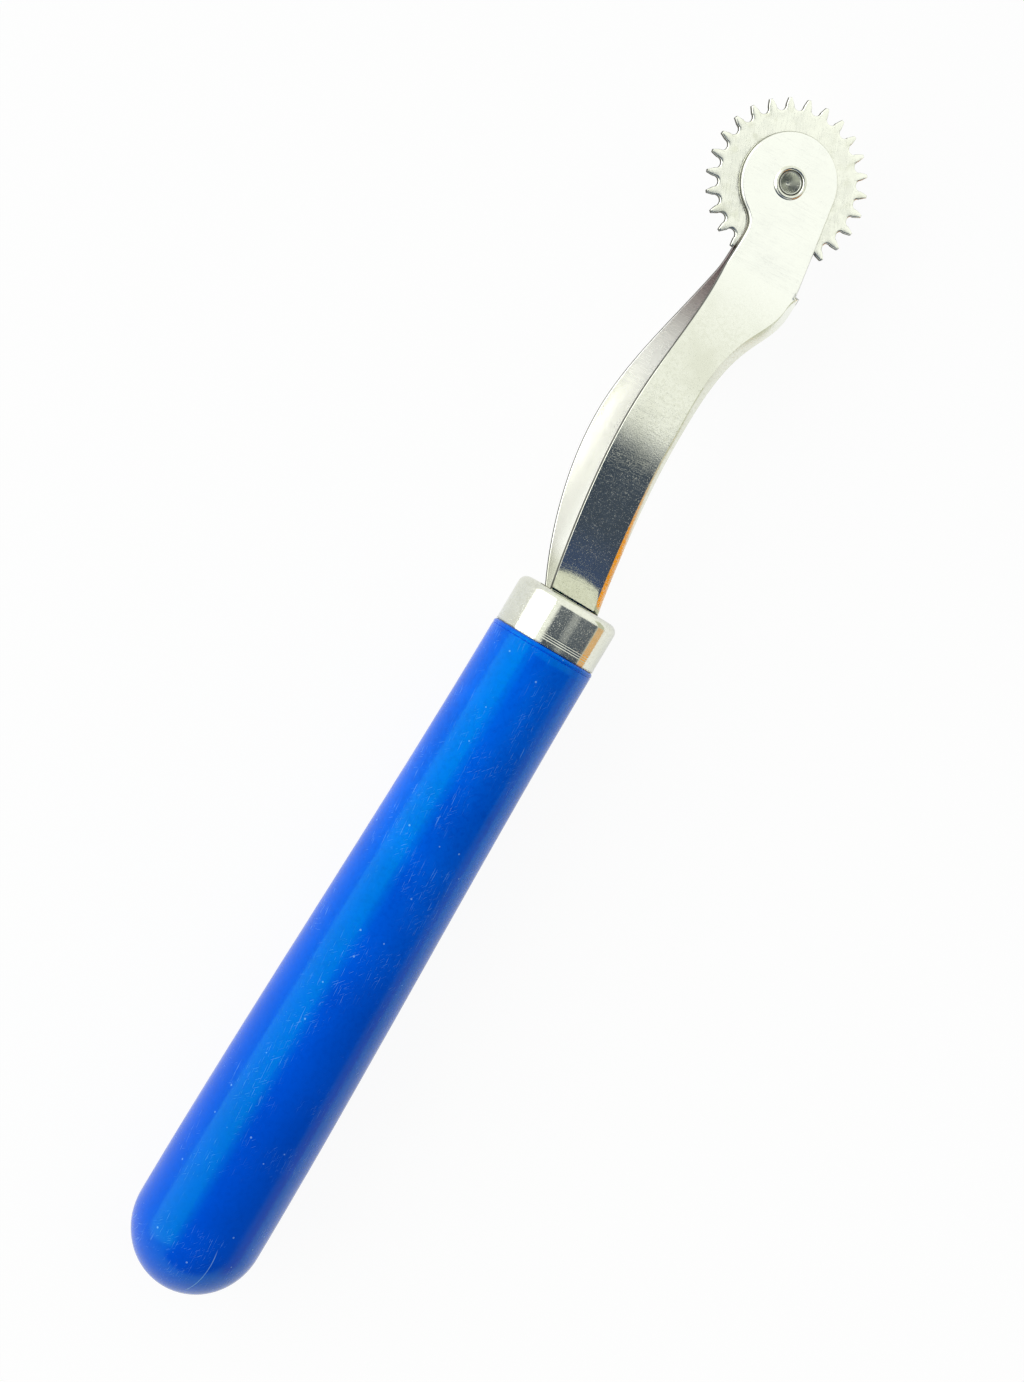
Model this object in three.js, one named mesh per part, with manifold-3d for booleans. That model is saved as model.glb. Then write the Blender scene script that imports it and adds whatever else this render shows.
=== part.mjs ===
// Serrated tracing wheel: a moulded round handle, a pressed ferrule, a fork of two bowed
// steel leaves and a toothed wheel that turns on a tubular rivet between the leaves.
// Millimetres. +X runs from the handle to the wheel, and +Z is square to the wheel's faces.
// The origin lies under the middle of the tool, level with its lowest point.

import * as THREE from 'three';
import { mergeVertices } from 'three/addons/utils/BufferGeometryUtils.js';
import Module from 'manifold-3d';

// Handle, measured back from the ferrule's rim
const handleLength = 92.3;
const handleBackDiameter = 16.8;
const handleButtLength = 8.6;
const handleRimRadius = 0.4;
const handleRimStep = 0.15;

// Ferrule, a cup pressed over the handle's spigot
const ferruleDiameter = 13.6;
const ferruleLength = 6.4;
const ferruleWall = 0.5;
const ferruleEdgeRadius = 1.1;
const spigotLength = 3.4;

// Fork leaves, stamped from sheet and bowed; the strip widens and sways left past the ferrule
const sheetThickness = 0.8;
const stripBaseWidth = 6.9;
const stripWidth = 7.15;
const stripSway = 4.1;
const stripLeanAngle = THREE.MathUtils.degToRad(20);
const bowAngle = THREE.MathUtils.degToRad(31);
const bendRadius = 4;
const stripShift = -0.1;
const tangWidth = 5;
const tangLength = 14;
const tangGap = 0.1;

// Fork head, measured from the axle
const axleReach = 63.3;
const axleOffset = 3.5;
const headDiameter = 12.3;
const headFlatLength = 11.4;
const neckBack = 9.6;
const neckSide = 1.6;
const neckJoinAngle = THREE.MathUtils.degToRad(148);
const shoulderBack = 11;
const shoulderSide = 8.65;
const shoulderNotch = 0.6;

// Toothed wheel
const wheelDiameter = 20.4;
const wheelThickness = 0.8;
const toothCount = 26;
const toothDepth = 1.5;
const toothTipWidth = 0.35;
const toothGapRadius = 0.65;
const wheelRestAngle = THREE.MathUtils.degToRad(2.5);

// Tubular rivet: a domed head at the rear and a rolled lip round its hollow end at the front
const rivetDiameter = 3.1;
const rivetHeadOverhang = 1.15;
const rivetHeadHeight = 0.9;
const rivetLipOverhang = 0.5;
const rivetLipHeight = 0.45;
const rivetMouthFlare = 0.5;
const rivetWall = 0.55;
const rivetHollowDepth = 1.9;
const rivetHollowCone = 0.5;

// Clearances
const wheelSideGap = 0.1;
const bearingClearance = 0.06;
const fitClearance = 0.05;
const slotSideGap = 0.3;
const slotFaceGap = 0.35;
const slotCornerRadius = 0.2;

// How far the leaf's plan curves reach before they turn, as shares of half the bow's length;
// the neck's is a share of the head's diameter
const ferruleEase = 0.23;
const crestEase = 0.37;
const waistEase = 0.72;
const shoulderEase = 0.37;
const neckEase = 0.19;

// Fineness of the round stretches
const turnSegments = 48;
const swellSteps = 14;
const arcDivisions = 4;
const bowDivisions = 8;
const outlineDivisions = 12;

// How far a cutting body runs past the face that it cuts
const cutOverrun = 1;

// Heights of a leaf's middle surface above the wheel's middle plane
const tangHeight = (tangGap + sheetThickness) / 2;
const headHeight = wheelThickness / 2 + wheelSideGap + sheetThickness / 2;
const headFace = headHeight + sheetThickness / 2;

// The bow starts at the spigot's end face and ends where the flat head begins
const bowStart = spigotLength + fitClearance;
const bowEnd = axleReach - headFlatLength;
const bowMiddle = (ferruleLength + bowEnd) / 2;
const rampLength = (headHeight - tangHeight) / Math.sin(bowAngle);
const rampStart = bowStart + bendRadius * Math.sin(bowAngle);
const arcStart = rampStart + rampLength * Math.cos(bowAngle);
const arcEnd = bowEnd - bendRadius * Math.sin(bowAngle);
const bowRadius = (arcEnd - arcStart) / (2 * Math.sin(bowAngle));
const bowRise = bendRadius * (1 - Math.cos(bowAngle));
const bowCentreHeight = headHeight + bowRise - bowRadius * Math.cos(bowAngle);
const bowPeak = bowCentreHeight + bowRadius + sheetThickness / 2;
const arcMiddle = (arcStart + arcEnd) / 2;

const wasm = await Module();
wasm.setup();

function solidFrom(geometry) {
  const bare = geometry.clone();
  bare.deleteAttribute('normal');
  bare.deleteAttribute('uv');
  const welded = mergeVertices(bare);
  const corners = welded.index.array;
  const kept = [];
  for (let i = 0; i < corners.length; i += 3) {
    const [a, b, c] = [corners[i], corners[i + 1], corners[i + 2]];
    if (a !== b && b !== c && c !== a) {
      kept.push(a, b, c);
    }
  }
  return new wasm.Manifold(new wasm.Mesh({
    numProp: 3,
    vertProperties: new Float32Array(welded.attributes.position.array),
    triVerts: new Uint32Array(kept),
  }));
}

function geometryFrom(solid) {
  const { vertProperties, triVerts } = solid.getMesh();
  const geometry = new THREE.BufferGeometry();
  geometry.setAttribute('position', new THREE.BufferAttribute(vertProperties, 3));
  geometry.setIndex(new THREE.BufferAttribute(triVerts, 1));
  geometry.computeVertexNormals();
  return geometry;
}

// Turns a profile of (radius, position) points round the X axis
function turnedAlongX(profile) {
  return new THREE.LatheGeometry(profile, turnSegments).rotateZ(-Math.PI / 2);
}

// A round hole with as many sides as the turned pieces
function roundHole(radius, x, y) {
  const ring = new THREE.EllipseCurve(x, y, radius, radius, 0, 2 * Math.PI, true);
  return new THREE.Path(ring.getPoints(turnSegments));
}

function part(name, geometry, material, x = 0, y = 0) {
  const mesh = new THREE.Mesh(geometry, material);
  mesh.name = name;
  mesh.position.set(x, y, 0);
  return mesh;
}

function makeHandle() {
  const frontRadius = ferruleDiameter / 2 + handleRimStep;
  const backRadius = handleBackDiameter / 2;
  const spigotRadius = ferruleDiameter / 2 - ferruleWall - fitClearance;
  const swellStart = handleButtLength - handleLength;
  const swellEnd = -handleRimRadius;
  const profile = new THREE.Path();
  profile.absellipse(0, swellStart, backRadius, handleButtLength, -Math.PI / 2, 0, false);
  for (let step = 1; step <= swellSteps; step += 1) {
    const position = THREE.MathUtils.lerp(swellStart, swellEnd, step / swellSteps);
    const swell = THREE.MathUtils.smoothstep(position, swellStart, swellEnd);
    profile.lineTo(THREE.MathUtils.lerp(backRadius, frontRadius, swell), position);
  }
  profile.absarc(frontRadius - handleRimRadius, swellEnd, handleRimRadius, 0, Math.PI / 2, false);
  profile.lineTo(spigotRadius, 0);
  profile.lineTo(spigotRadius, spigotLength);
  profile.lineTo(0, spigotLength);

  // The pocket holds both tangs and opens at the spigot's end face
  const pocketBack = -tangLength - fitClearance;
  const pocketFront = spigotLength + cutOverrun;
  const pocketWidth = tangWidth + 2 * fitClearance;
  const pocketHeight = 2 * (tangHeight + sheetThickness / 2 + fitClearance);
  const pocket = new THREE.BoxGeometry(pocketFront - pocketBack, pocketWidth, pocketHeight);
  pocket.translate((pocketFront + pocketBack) / 2, 0, 0);
  return geometryFrom(solidFrom(turnedAlongX(profile.getPoints(arcDivisions))).subtract(solidFrom(pocket)));
}

function makeFerrule() {
  const outer = ferruleDiameter / 2;
  const inner = outer - ferruleWall;
  const innerEdgeRadius = ferruleEdgeRadius - ferruleWall;
  const cornerPosition = ferruleLength - ferruleEdgeRadius;
  const profile = new THREE.Path();
  profile.moveTo(outer, 0);
  profile.lineTo(outer, cornerPosition);
  profile.absarc(outer - ferruleEdgeRadius, cornerPosition, ferruleEdgeRadius, 0, Math.PI / 2, false);
  profile.lineTo(0, ferruleLength);
  profile.lineTo(0, ferruleLength - ferruleWall);
  profile.absarc(inner - innerEdgeRadius, cornerPosition, innerEdgeRadius, Math.PI / 2, 0, true);
  profile.lineTo(inner, 0);
  profile.lineTo(outer, 0);

  // The slot is a round-cornered hole through the front wall, wider than the two leaves in it
  const halfWidth = stripBaseWidth / 2 + slotSideGap;
  const halfHeight = leafFaceHeight(ferruleLength) + slotFaceGap;
  const slot = new THREE.Shape();
  const cornerHeight = halfHeight - slotCornerRadius;
  const cornerSide = halfWidth - slotCornerRadius;
  slot.absarc(cornerHeight, cornerSide, slotCornerRadius, 0, Math.PI / 2, false);
  slot.absarc(-cornerHeight, cornerSide, slotCornerRadius, Math.PI / 2, Math.PI, false);
  slot.absarc(-cornerHeight, -cornerSide, slotCornerRadius, Math.PI, 1.5 * Math.PI, false);
  slot.absarc(cornerHeight, -cornerSide, slotCornerRadius, 1.5 * Math.PI, 2 * Math.PI, false);
  const cut = new THREE.ExtrudeGeometry(slot, {
    depth: ferruleWall + 2 * cutOverrun,
    bevelEnabled: false,
    curveSegments: arcDivisions,
  });
  cut.rotateY(Math.PI / 2);
  cut.translate(ferruleLength - ferruleWall - cutOverrun, stripShift, 0);
  return geometryFrom(solidFrom(turnedAlongX(profile.getPoints(arcDivisions))).subtract(solidFrom(cut)));
}

// Height of a leaf's outer face on the bow's rise, never less than where its arc starts
function leafFaceHeight(position) {
  const reach = arcMiddle - Math.max(position, arcStart);
  return bowCentreHeight + Math.sqrt((bowRadius + sheetThickness / 2) ** 2 - reach ** 2);
}

// One face of a leaf's side profile, at a distance out from the sheet's middle
function leafSideFace(outward) {
  const face = new THREE.Path();
  const bend = bendRadius - outward;
  const down = -Math.PI / 2;
  const up = Math.PI / 2;
  face.moveTo(-tangLength, tangHeight + outward);
  face.lineTo(bowStart, tangHeight + outward);
  face.absarc(bowStart, tangHeight + bendRadius, bend, down, down + bowAngle, false);
  face.absarc(arcMiddle, bowCentreHeight, bowRadius + outward, up + bowAngle, up - bowAngle, true);
  face.absarc(bowEnd, headHeight + bendRadius, bend, down - bowAngle, down, false);
  face.lineTo(axleReach + headDiameter, headHeight + outward);
  return face.getPoints(bowDivisions);
}

// The stamped outline seen along the rivet: tang, swaying strip, right shoulder and round head
function leafOutline() {
  const crest = stripSway + stripWidth / 2;
  const waist = stripSway - stripWidth / 2;
  const left = stripShift + stripBaseWidth / 2;
  const right = stripShift - stripBaseWidth / 2;
  const run = bowMiddle - ferruleLength;
  const ease = run * ferruleEase;
  const climb = ease * Math.tan(stripLeanAngle);
  const tail = run * crestEase;
  const headRadius = headDiameter / 2;
  const tangShoulder = bowStart + fitClearance;

  // The right shoulder's edge runs straight to the head and meets its circle at a tangent
  const shoulder = new THREE.Vector2(axleReach - shoulderBack, axleOffset - shoulderSide);
  const notch = new THREE.Vector2(shoulder.x, shoulder.y + shoulderNotch);
  const fromHead = notch.clone().sub(new THREE.Vector2(axleReach, axleOffset));
  const tangentAngle = fromHead.angle() + Math.acos(headRadius / fromHead.length()) - 2 * Math.PI;

  const neck = new THREE.Vector2(axleReach - neckBack, axleOffset + neckSide);
  const join = new THREE.Vector2(Math.cos(neckJoinAngle), Math.sin(neckJoinAngle));
  const neckReach = headDiameter * neckEase;
  const joinPoint = join.clone().multiplyScalar(headRadius).add(new THREE.Vector2(axleReach, axleOffset));

  const outline = new THREE.Shape();
  outline.moveTo(-tangLength, -tangWidth / 2);
  outline.lineTo(tangShoulder, -tangWidth / 2);
  outline.lineTo(tangShoulder, right);
  outline.lineTo(ferruleLength, right);
  outline.bezierCurveTo(ferruleLength + ease, right + climb, bowMiddle - tail, waist, bowMiddle, waist);
  outline.bezierCurveTo(
    bowMiddle + run * waistEase, waist,
    shoulder.x - run * shoulderEase, shoulder.y, shoulder.x, shoulder.y,
  );
  outline.lineTo(notch.x, notch.y);
  outline.absarc(axleReach, axleOffset, headRadius, tangentAngle, neckJoinAngle, false);
  outline.bezierCurveTo(
    joinPoint.x - join.y * neckReach, joinPoint.y + join.x * neckReach,
    neck.x + neckReach, neck.y, neck.x, neck.y,
  );
  outline.bezierCurveTo(neck.x - tail, neck.y, bowMiddle + tail, crest, bowMiddle, crest);
  outline.bezierCurveTo(bowMiddle - tail, crest, ferruleLength + ease, left + climb, ferruleLength, left);
  outline.lineTo(tangShoulder, left);
  outline.lineTo(tangShoulder, tangWidth / 2);
  outline.lineTo(-tangLength, tangWidth / 2);
  outline.closePath();

  outline.holes.push(roundHole(rivetDiameter / 2 + fitClearance, axleReach, axleOffset));
  return outline;
}

// side is 1 for the leaf above the wheel and -1 for the one below it
function makeLeaf(side) {
  const faces = [...leafSideFace(sheetThickness / 2), ...leafSideFace(-sheetThickness / 2).reverse()];
  const sideShape = new THREE.Shape(faces.map((point) => new THREE.Vector2(point.x, point.y * side)));
  const sheetSpan = 2 * (axleOffset + headDiameter + stripWidth + shoulderSide);
  const sheet = new THREE.ExtrudeGeometry(sideShape, { depth: sheetSpan, bevelEnabled: false });
  sheet.rotateX(Math.PI / 2);
  sheet.translate(0, sheetSpan / 2, 0);
  const reach = bowPeak + sheetThickness;
  const blank = new THREE.ExtrudeGeometry(leafOutline(), {
    depth: 2 * reach,
    bevelEnabled: false,
    curveSegments: outlineDivisions,
  });
  blank.translate(0, 0, -reach);
  return geometryFrom(solidFrom(sheet).intersect(solidFrom(blank)));
}

function makeWheel() {
  const tipRadius = wheelDiameter / 2;
  const gapCentre = tipRadius - toothDepth + toothGapRadius;
  const pitch = (2 * Math.PI) / toothCount;
  const halfTip = toothTipWidth / wheelDiameter;
  const outline = new THREE.Shape();
  for (let tooth = 0; tooth < toothCount; tooth += 1) {
    const tip = wheelRestAngle + tooth * pitch;
    const gap = tip + pitch / 2;
    const tipStart = tip - halfTip;
    const tipEnd = tip + halfTip;
    if (tooth === 0) {
      outline.moveTo(tipRadius * Math.cos(tipStart), tipRadius * Math.sin(tipStart));
    } else {
      outline.lineTo(tipRadius * Math.cos(tipStart), tipRadius * Math.sin(tipStart));
    }
    outline.lineTo(tipRadius * Math.cos(tipEnd), tipRadius * Math.sin(tipEnd));
    const [x, y] = [gapCentre * Math.cos(gap), gapCentre * Math.sin(gap)];
    outline.absarc(x, y, toothGapRadius, gap - Math.PI / 2, gap + Math.PI / 2, true);
  }
  outline.closePath();
  outline.holes.push(roundHole(rivetDiameter / 2 + bearingClearance, 0, 0));
  const plate = new THREE.ExtrudeGeometry(outline, {
    depth: wheelThickness,
    bevelEnabled: false,
    curveSegments: arcDivisions,
  });
  plate.translate(0, 0, -wheelThickness / 2);
  return plate;
}

function makeRivet() {
  const shank = rivetDiameter / 2;
  const lip = shank + rivetLipOverhang;
  const hollow = shank - rivetWall;
  const mouth = hollow + rivetMouthFlare;
  const lipTop = headFace + rivetLipHeight;
  const hollowFloor = lipTop - rivetHollowDepth;
  const profile = new THREE.Path();
  profile.absellipse(0, -headFace, shank + rivetHeadOverhang, rivetHeadHeight, -Math.PI / 2, 0, false);
  profile.lineTo(shank, -headFace);
  profile.lineTo(shank, headFace);
  profile.lineTo(lip, headFace);
  profile.quadraticCurveTo(lip, lipTop, (lip + mouth) / 2, lipTop);
  profile.lineTo(mouth, lipTop);
  profile.lineTo(hollow, headFace);
  profile.lineTo(hollow, hollowFloor + rivetHollowCone);
  profile.lineTo(0, hollowFloor);
  return new THREE.LatheGeometry(profile.getPoints(arcDivisions), turnSegments).rotateX(Math.PI / 2);
}

const bluePlastic = new THREE.MeshStandardMaterial({ color: 0x0a4fd0, roughness: 0.28, metalness: 0 });
const ferrulePlate = new THREE.MeshStandardMaterial({ color: 0xd8d8d0, roughness: 0.12, metalness: 1 });
const leafPlate = new THREE.MeshStandardMaterial({ color: 0xd6d6cc, roughness: 0.18, metalness: 1 });
const rearLeafPlate = new THREE.MeshStandardMaterial({ color: 0xd2d2c8, roughness: 0.2, metalness: 1 });
const wheelSteel = new THREE.MeshStandardMaterial({ color: 0xcfd0be, roughness: 0.45, metalness: 1 });
const rivetSteel = new THREE.MeshStandardMaterial({ color: 0xc8c8c4, roughness: 0.25, metalness: 1 });

const group = new THREE.Group();
group.add(part('handle', makeHandle(), bluePlastic));
group.add(part('ferrule', makeFerrule(), ferrulePlate));
group.add(part('front_leaf', makeLeaf(1), leafPlate));
group.add(part('rear_leaf', makeLeaf(-1), rearLeafPlate));
group.add(part('tracing_wheel', makeWheel(), wheelSteel, axleReach, axleOffset));
group.add(part('axle_rivet', makeRivet(), rivetSteel, axleReach, axleOffset));

// The whole tool stands over the origin: centred along X and Y, its lowest point at Z = 0
const box = new THREE.Box3().setFromObject(group, true);
const middle = box.getCenter(new THREE.Vector3());
group.position.set(-middle.x, -middle.y, -box.min.z);

export default group;
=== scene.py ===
import math

import bmesh
import bpy
import numpy as np
from bpy.props import FloatProperty, FloatVectorProperty, IntProperty, PointerProperty
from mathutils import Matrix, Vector
from mathutils.geometry import delaunay_2d_cdt
from mathutils.kdtree import KDTree


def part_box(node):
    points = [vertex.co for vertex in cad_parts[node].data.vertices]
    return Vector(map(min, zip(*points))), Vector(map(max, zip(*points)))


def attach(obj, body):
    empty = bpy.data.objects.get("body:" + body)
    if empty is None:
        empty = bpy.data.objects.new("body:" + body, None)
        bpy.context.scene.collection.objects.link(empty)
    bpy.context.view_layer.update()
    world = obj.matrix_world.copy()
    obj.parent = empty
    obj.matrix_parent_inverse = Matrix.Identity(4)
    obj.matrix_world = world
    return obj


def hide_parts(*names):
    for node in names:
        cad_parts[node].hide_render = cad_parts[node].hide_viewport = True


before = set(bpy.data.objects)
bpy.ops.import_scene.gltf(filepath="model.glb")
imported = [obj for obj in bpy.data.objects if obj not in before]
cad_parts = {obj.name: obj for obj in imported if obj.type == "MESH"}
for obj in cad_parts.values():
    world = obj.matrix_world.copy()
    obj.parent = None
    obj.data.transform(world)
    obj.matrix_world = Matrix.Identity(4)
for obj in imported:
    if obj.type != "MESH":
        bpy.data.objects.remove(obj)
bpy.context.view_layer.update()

bl_info = {
    "name": "Serrated Tracing Wheel",
    "version": (1, 0, 0),
    "blender": (4, 5, 0),
    "location": "View3D > Sidebar > Tracing Wheel",
    "description": "Smooth pieces and finishes for a serrated tracing wheel, made round its packed solids",
    "category": "Object",
}

MM = 0.001
IMAGE_SIZE = (1024, 1382)
SENSOR_WIDTH = 36.0

# Fineness of the made meshes
TURN_SEGMENTS = 144
EDGE_STEP = 0.25
FACE_STEP = 0.6
CREASE_ANGLE = math.radians(38)
WELD = 0.0005 * MM
ON_AXIS = 0.0001 * MM


def linear(code):
    """An sRGB hex colour as linear red, green and blue."""
    shares = [int(code[i:i + 2], 16) / 255 for i in (1, 3, 5)]
    return tuple(c / 12.92 if c <= 0.04045 else ((c + 0.055) / 1.055) ** 2.4 for c in shares)


def length(name, description, millimetres):
    metres = millimetres * MM
    return FloatProperty(name=name, description=description, default=metres, unit="LENGTH", precision=5)


def angle(name, description, degrees):
    return FloatProperty(name=name, description=description, default=math.radians(degrees), subtype="ANGLE")


def share(name, description, value):
    return FloatProperty(name=name, description=description, default=value, subtype="FACTOR", min=0, max=1)


def tint(name, description, code):
    return FloatVectorProperty(
        name=name, description=description, default=linear(code), subtype="COLOR", size=3, min=0, max=1,
    )


class HandleSizes(bpy.types.PropertyGroup):
    butt: length("Butt", "Length of the domed end", 8.6)
    front_radius: length("Front radius", "Radius at the rim that meets the ferrule", 6.95)
    rim: length("Rim", "Radius of the rounded front rim", 0.4)
    line_place: length("Line place", "Distance of the moulded line behind the rim", 0.62)
    line_width: length("Line width", "Width of the moulded line", 0.16)
    line_depth: length("Line depth", "Depth of the moulded line", 0.07)
    spigot_radius: length("Spigot radius", "Radius of the spigot inside the ferrule", 6.25)
    pocket_width: length("Pocket width", "Width of the pocket that holds the tangs", 5.1)
    pocket_height: length("Pocket height", "Height of the pocket that holds the tangs", 1.8)


class FerruleSizes(bpy.types.PropertyGroup):
    wall: length("Wall", "Thickness of the pressed metal", 0.5)
    edge: length("Edge", "Radius of the rounded front edge", 1.1)
    slot_side: length("Slot side gap", "Gap between the slot and a leaf's edge", 0.3)
    slot_face: length("Slot face gap", "Gap between the slot and a leaf's outer face", 0.35)
    slot_corner: length("Slot corner", "Radius of the slot's corners", 0.2)
    line_depth: length("Line depth", "Depth of the turned lines near the back rim", 0.012)


class LeafSizes(bpy.types.PropertyGroup):
    sheet: length("Sheet", "Thickness of the stamped sheet", 0.8)
    base_width: length("Base width", "Width of the strip at the ferrule", 6.9)
    base_shift: length("Base shift", "Sideways place of the strip at the ferrule", -0.1)
    width: length("Width", "Width of the strip at the bow's crest", 7.15)
    sway: length("Sway", "Sideways place of the strip at the bow's crest", 4.1)
    lean: angle("Lean", "Angle at which the strip leaves the ferrule", 20)
    bow: angle("Bow angle", "Steepest angle of the bow", 31)
    bend: length("Bend radius", "Radius of the bends at the bow's two ends", 4.0)
    tang_width: length("Tang width", "Width of the tang in the handle", 5.0)
    tang_length: length("Tang length", "Length of the tang behind the ferrule's back rim", 14.0)
    tang_gap: length("Tang gap", "Gap between the two tangs", 0.1)
    head: length("Head", "Diameter of the round head", 12.3)
    flat: length("Flat", "Length of the flat head behind the axle", 11.4)
    neck_back: length("Neck back", "Place of the neck behind the axle", 9.6)
    neck_side: length("Neck side", "Place of the neck beside the axle", 1.6)
    neck_join: angle("Neck join", "Where the neck's curve meets the round head", 148)
    shoulder_back: length("Shoulder back", "Place of the shoulder behind the axle", 11.0)
    shoulder_side: length("Shoulder side", "Place of the shoulder beside the axle", 8.65)
    notch: length("Notch", "Depth of the notch at the shoulder", 0.6)
    right_roll: length("Right roll", "Width of the rolled right edge", 0.85)
    waist_roll: length("Waist roll", "Width of the rolled right edge between crest and shoulder", 1.3)
    left_roll: length("Left roll", "Width of the rolled left edge", 0.1)
    head_roll: length("Head roll", "Width of the rolled edge round the head", 0.24)
    ferrule_ease: share("Ferrule ease", "How long the strip keeps its lean past the ferrule", 0.23)
    crest_ease: share("Crest ease", "How long the strip stays at its crest", 0.37)
    waist_ease: share("Waist ease", "How long the right edge stays at its waist", 0.72)
    shoulder_ease: share("Shoulder ease", "How soon the right edge runs out to the shoulder", 0.37)
    neck_ease: share("Neck ease", "Reach of the neck's curve, as a share of the head", 0.19)


class WheelSizes(bpy.types.PropertyGroup):
    teeth: IntProperty(name="Teeth", description="Number of teeth", default=26, min=6)
    tooth: length("Tooth", "Depth of a tooth", 1.5)
    tip: length("Tip", "Width of a tooth's flat tip", 0.35)
    gap: length("Gap", "Radius of the round gap between teeth", 0.65)
    rest: angle("Rest angle", "Turn of the first tooth at rest", 2.5)
    bore: length("Bore", "Radius of the bore", 1.61)
    edge: length("Edge", "Rounding of the stamped edges", 0.12)


class RivetSizes(bpy.types.PropertyGroup):
    shank: length("Shank", "Radius of the shank", 1.55)
    lip: length("Lip", "Outer radius of the rolled lip", 2.05)
    mouth: length("Mouth", "Radius where the lip turns into the hollow", 1.5)
    hollow: length("Hollow", "Radius of the hollow", 1.0)
    depth: length("Depth", "Depth of the hollow below the lip", 1.9)
    cone: length("Cone", "Height of the hollow's conical floor", 0.5)
    lip_height: length("Lip height", "Height of the lip above the leaf", 0.45)
    head_height: length("Head height", "Height of the domed head at the back", 0.9)


class Finishes(bpy.types.PropertyGroup):
    plastic: tint("Plastic", "Blue of the moulded handle at its butt", "#004ED3")
    plastic_front: tint("Front plastic", "Blue of the moulded handle at its front", "#005CE0")
    plastic_deep: tint("Deep plastic", "Darker flow marks in the handle", "#0045C2")
    speck: tint("Speck", "Pale specks and scratches on the handle", "#7FB2EC")
    nickel: tint("Nickel", "Bright nickel plate", "#EAEBDF")
    nickel_dull: tint("Dull nickel", "Nickel plate where it is stained", "#D8D9C9")
    nickel_head: tint("Head nickel", "Nickel plate on the flat head, which is cleaner", "#F9FAF3")
    # Painted highlight: the inner faces are painted near white, paler than the outer plate
    inside: tint("Inside", "Untouched nickel on the fork's inner faces", "#FFFFFA")
    # Painted shade: purple brown on the inner faces where the narrow neck lies close between the parts
    neck_shade_colour: tint("Dark inside", "Purple brown tarnish inside the fork's neck", "#8A7C7C")
    # Partly bare sheared metal and partly painted shade, on the stamped walls and in the rivet's crevice
    sheared_and_shade: tint("Sheared", "Bare sheared metal on the stamped walls", "#48483F")
    hollow: tint("Hollow", "Bare metal in the rivet's hollow", "#D0D2C8")
    steel: tint("Steel", "Satin plate of the toothed wheel", "#FAFBEF")
    steel_dull: tint("Dull steel", "Stains on the toothed wheel", "#D8DAC2")


class StageSizes(bpy.types.PropertyGroup):
    focal_pixels: FloatProperty(name="Focal length", description="Focal length in image pixels", default=2200)
    eye: FloatVectorProperty(
        name="Eye", description="Place of the camera from the ferrule's back rim", unit="LENGTH",
        default=(3.238 * MM, 65.891 * MM, 262.482 * MM),
    )
    turn: FloatVectorProperty(
        name="Turn", description="Turn of the camera about X, Y and Z", subtype="EULER",
        default=(math.radians(-9.0626), math.radians(-10.8966), math.radians(-58.6033)),
    )
    floor: FloatProperty(name="Floor", description="Side of the floor", default=6.0, unit="LENGTH")
    key_size: FloatVectorProperty(
        name="Key size", description="Width and height of the soft key light", size=2, unit="LENGTH",
        default=(1.0, 0.62),
    )
    key_place: FloatVectorProperty(
        name="Key place", description="Place of the soft key light", unit="LENGTH",
        default=(-0.05, 0.55, 0.25),
    )
    key_radiance: FloatProperty(name="Key radiance", description="Brightness of the key light", default=1.5)


class TracingWheelSettings(bpy.types.PropertyGroup):
    handle: PointerProperty(type=HandleSizes)
    ferrule: PointerProperty(type=FerruleSizes)
    leaf: PointerProperty(type=LeafSizes)
    wheel: PointerProperty(type=WheelSizes)
    rivet: PointerProperty(type=RivetSizes)
    finish: PointerProperty(type=Finishes)
    stage: PointerProperty(type=StageSizes)


def settings():
    return bpy.context.scene.tracing_wheel


def tool_origin():
    """The middle of the ferrule's back rim, on the handle's axis and in the wheel's middle plane."""
    low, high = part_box("handle")
    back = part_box("ferrule")[0]
    return Vector((back.x, (low.y + high.y) / 2, (low.z + high.z) / 2))


def axle():
    """The wheel's centre, which is the middle of the rivet seen along its axis."""
    low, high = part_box("axle_rivet")
    wheel_low, wheel_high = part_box("tracing_wheel")
    return Vector(((low.x + high.x) / 2, (low.y + high.y) / 2, (wheel_low.z + wheel_high.z) / 2))


# Meshes

def add_object(name, data):
    """An object that shows the data, linked to the scene."""
    item = bpy.data.objects.new(name, data)
    bpy.context.scene.collection.objects.link(item)
    return item


def piece_from(name, points, faces):
    """A smooth-shaded object from points and faces, with its doubles merged and its normals outward."""
    mesh = bpy.data.meshes.new(name)
    mesh.from_pydata(points, [], faces)
    face_outward(mesh, WELD)
    return add_object(name, mesh)


def face_outward(mesh, merge=None):
    """Merges points closer than merge, turns the normals outward and shades the mesh smooth."""
    shell = bmesh.new()
    shell.from_mesh(mesh)
    if merge:
        bmesh.ops.remove_doubles(shell, verts=shell.verts, dist=merge)
    bmesh.ops.recalc_face_normals(shell, faces=shell.faces)
    shell.to_mesh(mesh)
    shell.free()
    soften(mesh)


def soften(mesh):
    mesh.shade_smooth()
    mesh.set_sharp_from_angle(angle=CREASE_ANGLE)


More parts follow.
